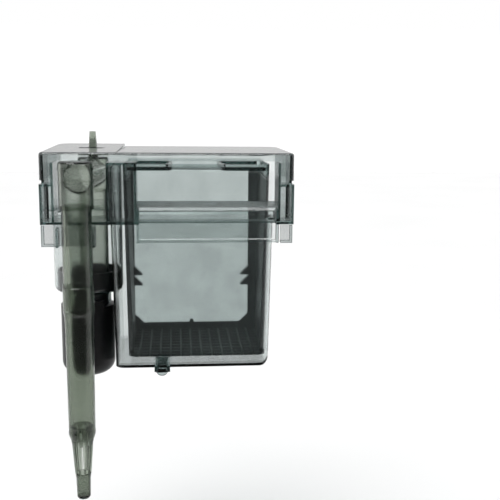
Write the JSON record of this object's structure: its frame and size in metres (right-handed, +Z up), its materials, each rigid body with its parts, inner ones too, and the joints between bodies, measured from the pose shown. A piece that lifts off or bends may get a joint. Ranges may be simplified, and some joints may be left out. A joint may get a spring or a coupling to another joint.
{
  "type": "hang on back filter",
  "caption": "Aquarium filter that hangs on the tank's rim: see-through tub with lids and a lift-out media basket, an intake tube with strainer, and a pump motor under its well.",
  "frame": {"origin": "centre of the rim seat: middle of the filter's width, middle of the gap for the tank's wall, underside of the ledge that rests on the rim", "axes": "+X to the right as seen from inside the tank, +Y away from the tank, +Z up"},
  "size_m": [0.225, 0.1658, 0.3286],
  "materials": {
    "smoke_case": "clear smoke-grey moulding, glossy",
    "smoke_cover": "clear smoke-grey moulding, glossy with a satin top",
    "smoke_basket": "darker clear smoke-grey moulding",
    "olive_tube": "clear olive-grey moulding",
    "smoke_foot": "dark clear smoke-grey moulding",
    "black_plastic": "satin black moulding",
    "black_rubber": "soft matt rubber",
    "lamination_steel": "stacked sheet steel",
    "white_plastic": "natural nylon",
    "copper_wire": "enamelled copper wire",
    "magnet_ferrite": "dark sintered ferrite in a plastic skin",
    "impeller_plastic": "pale nylon moulding",
    "shaft_steel": "ground stainless steel"
  },
  "bodies": {
    "case": {"filter_case": "smoke_case", "impeller_cover": "black_plastic"},
    "media_lid": {"media_cover": "smoke_cover"},
    "intake_lid": {"intake_cover": "smoke_cover"},
    "basket": {"filter_basket": "smoke_basket"},
    "handle_left": {"basket_handle_left": "smoke_basket"},
    "handle_right": {"basket_handle_right": "smoke_basket"},
    "intake": {"u_tube": "olive_tube"},
    "extension": {"extension_tube": "olive_tube"},
    "intake_strainer": {"strainer": "olive_tube"},
    "motor": {"motor_housing": "black_plastic", "motor_cap": "black_plastic", "motor_seal": "black_rubber", "cord_gland": "black_rubber", "stator_core": "lamination_steel", "coil_bobbin": "white_plastic", "coil_winding": "copper_wire", "impeller_shaft": "shaft_steel", "shaft_bush_lower": "black_rubber", "shaft_bush_upper": "black_rubber", "thrust_washer": "white_plastic"},
    "rotor": {"rotor_magnet": "magnet_ferrite", "impeller": "impeller_plastic"},
    "foot": {"leveling_foot": "smoke_foot"}
  },
  "joints": [
    {"name": "media_cover_lift", "type": "slide", "parent": "case", "child": "media_lid", "axis": [0, 0, 1], "range_m": [0, 0.4]},
    {"name": "intake_cover_lift", "type": "slide", "parent": "case", "child": "intake_lid", "axis": [0, 0, 1], "range_m": [0, 0.3]},
    {"name": "basket_lift", "type": "slide", "parent": "case", "child": "basket", "axis": [0, 0, 1], "range_m": [0, 0.2]},
    {"name": "handle_left_fold", "type": "hinge", "parent": "basket", "child": "handle_left", "pos_m": [-0.036, 0.064, 0.0474], "axis": [0, -1, 0], "range_deg": [0, 85]},
    {"name": "handle_right_fold", "type": "hinge", "parent": "basket", "child": "handle_right", "pos_m": [0.0879, 0.064, 0.0474], "axis": [0, 1, 0], "range_deg": [0, 85]},
    {"name": "flow_swing", "type": "hinge", "parent": "case", "child": "intake", "pos_m": [-0.0785, -0.031, 0], "axis": [0, 0, 1], "range_deg": [-2.6, 5.4]},
    {"name": "extension_slide", "type": "slide", "parent": "intake", "child": "extension", "axis": [0, 0, -1], "range_m": [0, 0.018]},
    {"name": "strainer_pull", "type": "slide", "parent": "extension", "child": "intake_strainer", "axis": [0, 0, -1], "range_m": [0, 0.011]},
    {"name": "motor_twist", "type": "hinge", "parent": "case", "child": "motor", "pos_m": [-0.0795, 0.048, -0.0735], "axis": [0, 0, 1], "range_deg": [-32, 0]},
    {"name": "impeller_spin", "type": "hinge", "parent": "motor", "child": "rotor", "pos_m": [-0.0795, 0.048, -0.1], "axis": [0, 0, 1], "continuous": true},
    {"name": "foot_slide", "type": "slide", "parent": "case", "child": "foot", "axis": [0, -1, 0], "range_m": [0, 0.012]}
  ],
  "couplings": [
    {"joint": "basket_lift", "follows": "media_cover_lift", "ratio": 0.5},
    {"joint": "handle_left_fold", "follows": "media_cover_lift", "rad_per_m": 3.7},
    {"joint": "handle_right_fold", "follows": "media_cover_lift", "rad_per_m": 3.7}
  ]
}
